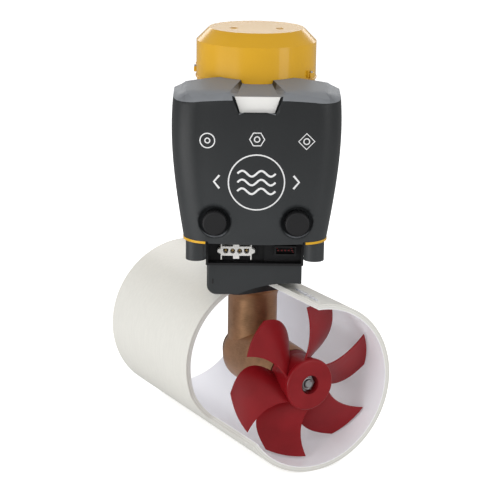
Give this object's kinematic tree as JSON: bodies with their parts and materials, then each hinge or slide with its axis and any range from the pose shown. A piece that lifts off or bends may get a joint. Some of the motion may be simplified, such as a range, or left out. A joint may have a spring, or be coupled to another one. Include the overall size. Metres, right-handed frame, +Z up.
{
  "type": "electric tunnel bow thruster",
  "caption": "Electric tunnel bow thruster: yellow motor, dark control cover, bronze leg and red propeller in a white tunnel with a viewing window.",
  "frame": {"origin": "centre of the tunnel's whole end face, on the tunnel axis", "axes": "-Y is the side that the control cover faces, +Z runs up the motor; the tunnel axis lies in the XY plane, turned 29.2 degrees from -Y towards +X"},
  "size_m": [0.2679, 0.3009, 0.3952],
  "materials": {
    "grp": "satin",
    "bronze": "satin",
    "steel": "satin",
    "yellow_paint": "gloss",
    "grey_moulding": "satin",
    "black_moulding": "satin",
    "white_moulding": "satin",
    "red_moulding": "gloss",
    "rubber": "matte",
    "copper": "satin",
    "brass": "satin",
    "ferrite": "matte",
    "carbon": "matte",
    "cast_alloy": "satin"
  },
  "bodies": {
    "housing": {"aux_connector": "black_moulding", "base_housing": "grey_moulding", "battery_posts": "brass", "bearing_cap": "bronze", "bracket_bolts": "steel", "brush_plate": "black_moulding", "brush_springs": "steel", "brushes": "carbon", "cable_spouts": "grey_moulding", "cap_ring": "rubber", "connector_contacts": "brass", "connector_panel": "black_moulding", "contactor_left": "steel", "contactor_right": "steel", "control_board": "black_moulding", "control_connector": "white_moulding", "control_cover": "grey_moulding", "control_frame": "steel", "copper_strap": "copper", "cover_plaque": "white_moulding", "cover_studs": "steel", "field_magnets": "ferrite", "leg_bearings": "steel", "leg_bolts": "steel", "leg_gasket": "rubber", "motor_bracket": "cast_alloy", "motor_end_cap": "yellow_paint", "motor_end_shield": "yellow_paint", "motor_lower_bearing": "steel", "motor_plate": "yellow_paint", "motor_screws": "steel", "motor_tube": "yellow_paint", "motor_upper_bearing": "steel", "plate_bolts": "steel", "prop_front_bearing": "steel", "prop_rear_bush": "bronze", "saddle_gasket": "rubber", "shaft_seals": "rubber", "tailpiece": "bronze", "thrust_tunnel": "grp"},
    "armature": {"armature_shaft": "steel", "armature_core": "steel", "armature_coils": "copper", "commutator": "copper", "upper_coupling": "steel", "coupling_star": "rubber", "lower_coupling": "steel", "drive_shaft": "steel", "bevel_pinion": "steel"},
    "screw": {"prop_shaft": "steel", "bevel_gear": "steel", "propeller": "red_moulding", "drive_pin": "steel", "prop_washer": "steel", "prop_nut": "steel"},
    "washer_left": {"captive_washer_left": "black_moulding"},
    "knob_left": {"cover_knob_left": "black_moulding"},
    "washer_right": {"captive_washer_right": "black_moulding"},
    "knob_right": {"cover_knob_right": "black_moulding"}
  },
  "joints": [
    {"name": "motor_spin", "type": "hinge", "parent": "housing", "child": "armature", "pos_m": [0.07059, -0.12631, 0], "axis": [0, 0, 1], "continuous": true},
    {"name": "prop_spin", "type": "hinge", "parent": "housing", "child": "screw", "pos_m": [0.07059, -0.12631, 0], "axis": [0.4879, -0.8729, 0], "continuous": true},
    {"name": "left_knob_slide", "type": "slide", "parent": "housing", "child": "washer_left", "axis": [0, -1, 0], "range_m": [0, 0.006]},
    {"name": "left_knob_turn", "type": "hinge", "parent": "washer_left", "child": "knob_left", "pos_m": [0.03359, -0.20631, 0.152], "axis": [0, -1, 0], "range_deg": [0, 2150]},
    {"name": "right_knob_slide", "type": "slide", "parent": "housing", "child": "washer_right", "axis": [0, -1, 0], "range_m": [0, 0.006]},
    {"name": "right_knob_turn", "type": "hinge", "parent": "washer_right", "child": "knob_right", "pos_m": [0.10759, -0.20631, 0.152], "axis": [0, -1, 0], "range_deg": [0, 2150]}
  ],
  "couplings": [
    {"joint": "prop_spin", "follows": "motor_spin", "ratio": -0.66667},
    {"joint": "left_knob_slide", "follows": "left_knob_turn", "m_per_rad": 0.00015915},
    {"joint": "right_knob_slide", "follows": "right_knob_turn", "m_per_rad": 0.00015915}
  ]
}
